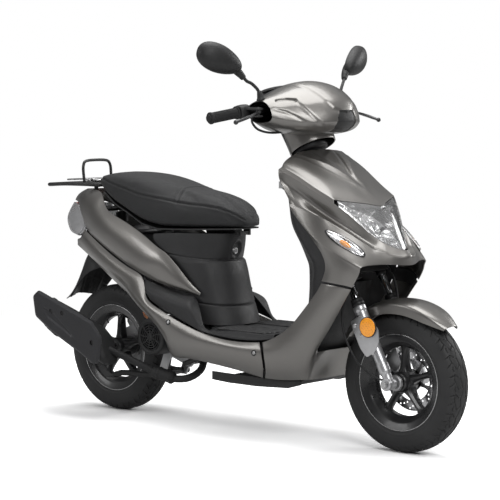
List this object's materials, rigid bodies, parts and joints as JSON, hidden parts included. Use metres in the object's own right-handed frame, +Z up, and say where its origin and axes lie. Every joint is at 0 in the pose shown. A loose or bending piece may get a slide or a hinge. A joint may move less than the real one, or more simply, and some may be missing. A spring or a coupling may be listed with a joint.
{
  "type": "moped scooter",
  "caption": "Step-through moped scooter with ribbed seat, swinging engine unit, telescopic fork, spoked wheels, rear rack and mirrors; all controls move.",
  "frame": {"origin": "on the ground, on the centre plane, under the middle of the overall length; the wheel axles are at x = -0.574 and x = 0.646", "axes": "+X forward, +Y to the rider's left, +Z up"},
  "size_m": [1.724, 0.8016, 1.2417],
  "materials": {
    "body_paint": "metallic grey paint, clear coated",
    "black_plastic": "fine grained",
    "seat_vinyl": "grained vinyl, matt",
    "tyre_rubber": "matt rubber",
    "grip_rubber": "ribbed, matt",
    "wheel_black": "satin black",
    "frame_black": "satin black",
    "cast_alloy": "cast, satin",
    "bright_steel": "machined",
    "lens_clear": "polished",
    "lens_orange": "prismatic",
    "exhaust_black": "heat resistant, satin"
  },
  "bodies": {
    "chassis": {"main_frame": "frame_black", "front_fairing": "body_paint", "legshield_inner": "black_plastic", "lower_leg_cover": "body_paint", "underbody_liner": "black_plastic", "headlight_unit": "lens_clear", "front_indicator_right": "lens_clear", "front_indicator_left": "lens_clear", "floorboard": "black_plastic", "side_skirt_right": "body_paint", "side_skirt_left": "body_paint", "seat_post_cover": "black_plastic", "rear_panel_right": "body_paint", "rear_panel_left": "body_paint", "tail_lamp": "lens_clear", "rear_mudguard": "black_plastic", "luggage_rack": "frame_black", "storage_box": "black_plastic", "fuel_tank": "frame_black", "battery": "black_plastic"},
    "ignition_key": {"ignition_key": "bright_steel"},
    "seat": {"seat_cushion": "seat_vinyl", "seat_base": "black_plastic"},
    "steering": {"fork_crown_stem": "bright_steel", "handlebar": "frame_black", "handlebar_cover_front": "body_paint", "handlebar_cover_rear": "black_plastic", "left_grip": "grip_rubber", "switch_housing_right": "black_plastic", "switch_housing_left": "black_plastic"},
    "throttle_grip": {"throttle_grip": "grip_rubber"},
    "brake_lever_right": {"brake_lever_right": "wheel_black"},
    "brake_lever_left": {"brake_lever_left": "wheel_black"},
    "mirror_right": {"mirror_right": "black_plastic"},
    "mirror_left": {"mirror_left": "black_plastic"},
    "starter_button": {"starter_button": "lens_orange"},
    "horn_button": {"horn_button": "black_plastic"},
    "fork_lower": {"fork_leg_right": "cast_alloy", "fork_leg_left": "cast_alloy", "front_fender": "body_paint", "front_axle": "bright_steel", "brake_caliper": "cast_alloy", "reflector_right": "lens_orange", "reflector_left": "lens_orange"},
    "front_wheel": {"front_tyre": "tyre_rubber", "front_rim": "wheel_black", "front_brake_disc": "bright_steel"},
    "engine_unit": {"engine_case": "cast_alloy", "fan_cover": "black_plastic", "exhaust": "exhaust_black", "heat_shield": "exhaust_black", "airbox": "black_plastic"},
    "cooling_fan": {"cooling_fan": "black_plastic"},
    "rear_wheel": {"rear_tyre": "tyre_rubber", "rear_rim": "wheel_black", "rear_axle": "bright_steel"},
    "kick_lever": {"kick_lever": "frame_black"},
    "centre_stand": {"centre_stand": "frame_black"},
    "shock_upper": {"shock_upper": "bright_steel"},
    "shock_lower": {"shock_lower": "bright_steel"}
  },
  "joints": [
    {"name": "steering_turn", "type": "hinge", "parent": "chassis", "child": "steering", "pos_m": [0.621, 0, 0.216], "axis": [-0.4695, 0, 0.8829], "range_deg": [-40, 40]},
    {"name": "fork_travel", "type": "slide", "parent": "steering", "child": "fork_lower", "axis": [-0.4695, 0, 0.8829], "range_m": [-0.01, 0.05]},
    {"name": "front_wheel_spin", "type": "hinge", "parent": "fork_lower", "child": "front_wheel", "pos_m": [0.646, 0, 0.216], "axis": [0, 1, 0], "continuous": true},
    {"name": "seat_open", "type": "hinge", "parent": "chassis", "child": "seat", "pos_m": [-0.012, 0, 0.636], "axis": [0, 1, 0], "range_deg": [0, 60]},
    {"name": "key_turn", "type": "hinge", "parent": "chassis", "child": "ignition_key", "pos_m": [0.232, -0.062, 0.8], "axis": [1, 0, 0], "range_deg": [0, 90]},
    {"name": "throttle_twist", "type": "hinge", "parent": "steering", "child": "throttle_grip", "pos_m": [0.177, -0.2725, 1.023], "axis": [-0.2127, -0.964, -0.1596], "range_deg": [0, 75]},
    {"name": "brake_lever_right_pull", "type": "hinge", "parent": "steering", "child": "brake_lever_right", "pos_m": [0.248, -0.224, 1.03], "axis": [0, 0, -1], "range_deg": [0, 12]},
    {"name": "brake_lever_left_pull", "type": "hinge", "parent": "steering", "child": "brake_lever_left", "pos_m": [0.248, 0.224, 1.03], "axis": [0, 0, 1], "range_deg": [0, 12]},
    {"name": "mirror_right_turn", "type": "hinge", "parent": "steering", "child": "mirror_right", "pos_m": [0.232, -0.196, 1.078], "axis": [0, 0, 1], "range_deg": [-15, 15]},
    {"name": "mirror_left_turn", "type": "hinge", "parent": "steering", "child": "mirror_left", "pos_m": [0.232, 0.196, 1.078], "axis": [0, 0, 1], "range_deg": [-15, 15]},
    {"name": "starter_press", "type": "slide", "parent": "steering", "child": "starter_button", "axis": [1, 0, 0], "range_m": [0, 0.003]},
    {"name": "horn_press", "type": "slide", "parent": "steering", "child": "horn_button", "axis": [1, 0, 0], "range_m": [0, 0.003]},
    {"name": "engine_swing", "type": "hinge", "parent": "chassis", "child": "engine_unit", "pos_m": [-0.199, 0, 0.2], "axis": [0, 1, 0], "range_deg": [-1, 6]},
    {"name": "rear_wheel_spin", "type": "hinge", "parent": "engine_unit", "child": "rear_wheel", "pos_m": [-0.574, 0, 0.216], "axis": [0, 1, 0], "continuous": true},
    {"name": "fan_spin", "type": "hinge", "parent": "engine_unit", "child": "cooling_fan", "pos_m": [-0.305, -0.1, 0.284], "axis": [0, 1, 0], "continuous": true},
    {"name": "kick_start", "type": "hinge", "parent": "engine_unit", "child": "kick_lever", "pos_m": [-0.394, 0.14, 0.245], "axis": [0, -1, 0], "range_deg": [0, 50]},
    {"name": "stand_deploy", "type": "hinge", "parent": "engine_unit", "child": "centre_stand", "pos_m": [-0.336, 0, 0.15], "axis": [0, -1, 0], "range_deg": [0, 95]},
    {"name": "shock_tilt", "type": "hinge", "parent": "chassis", "child": "shock_upper", "pos_m": [-0.524, 0.095, 0.575], "axis": [0, 1, 0], "range_deg": [-0.24, 0.207]},
    {"name": "shock_stroke", "type": "slide", "parent": "shock_upper", "child": "shock_lower", "axis": [-0.2793, 0, -0.9602], "range_m": [-0.04416, 0.00778]}
  ],
  "couplings": [
    {"joint": "shock_tilt", "follows": "engine_swing", "ratio": -0.0066},
    {"joint": "shock_stroke", "follows": "engine_swing", "m_per_rad": -0.4169}
  ]
}
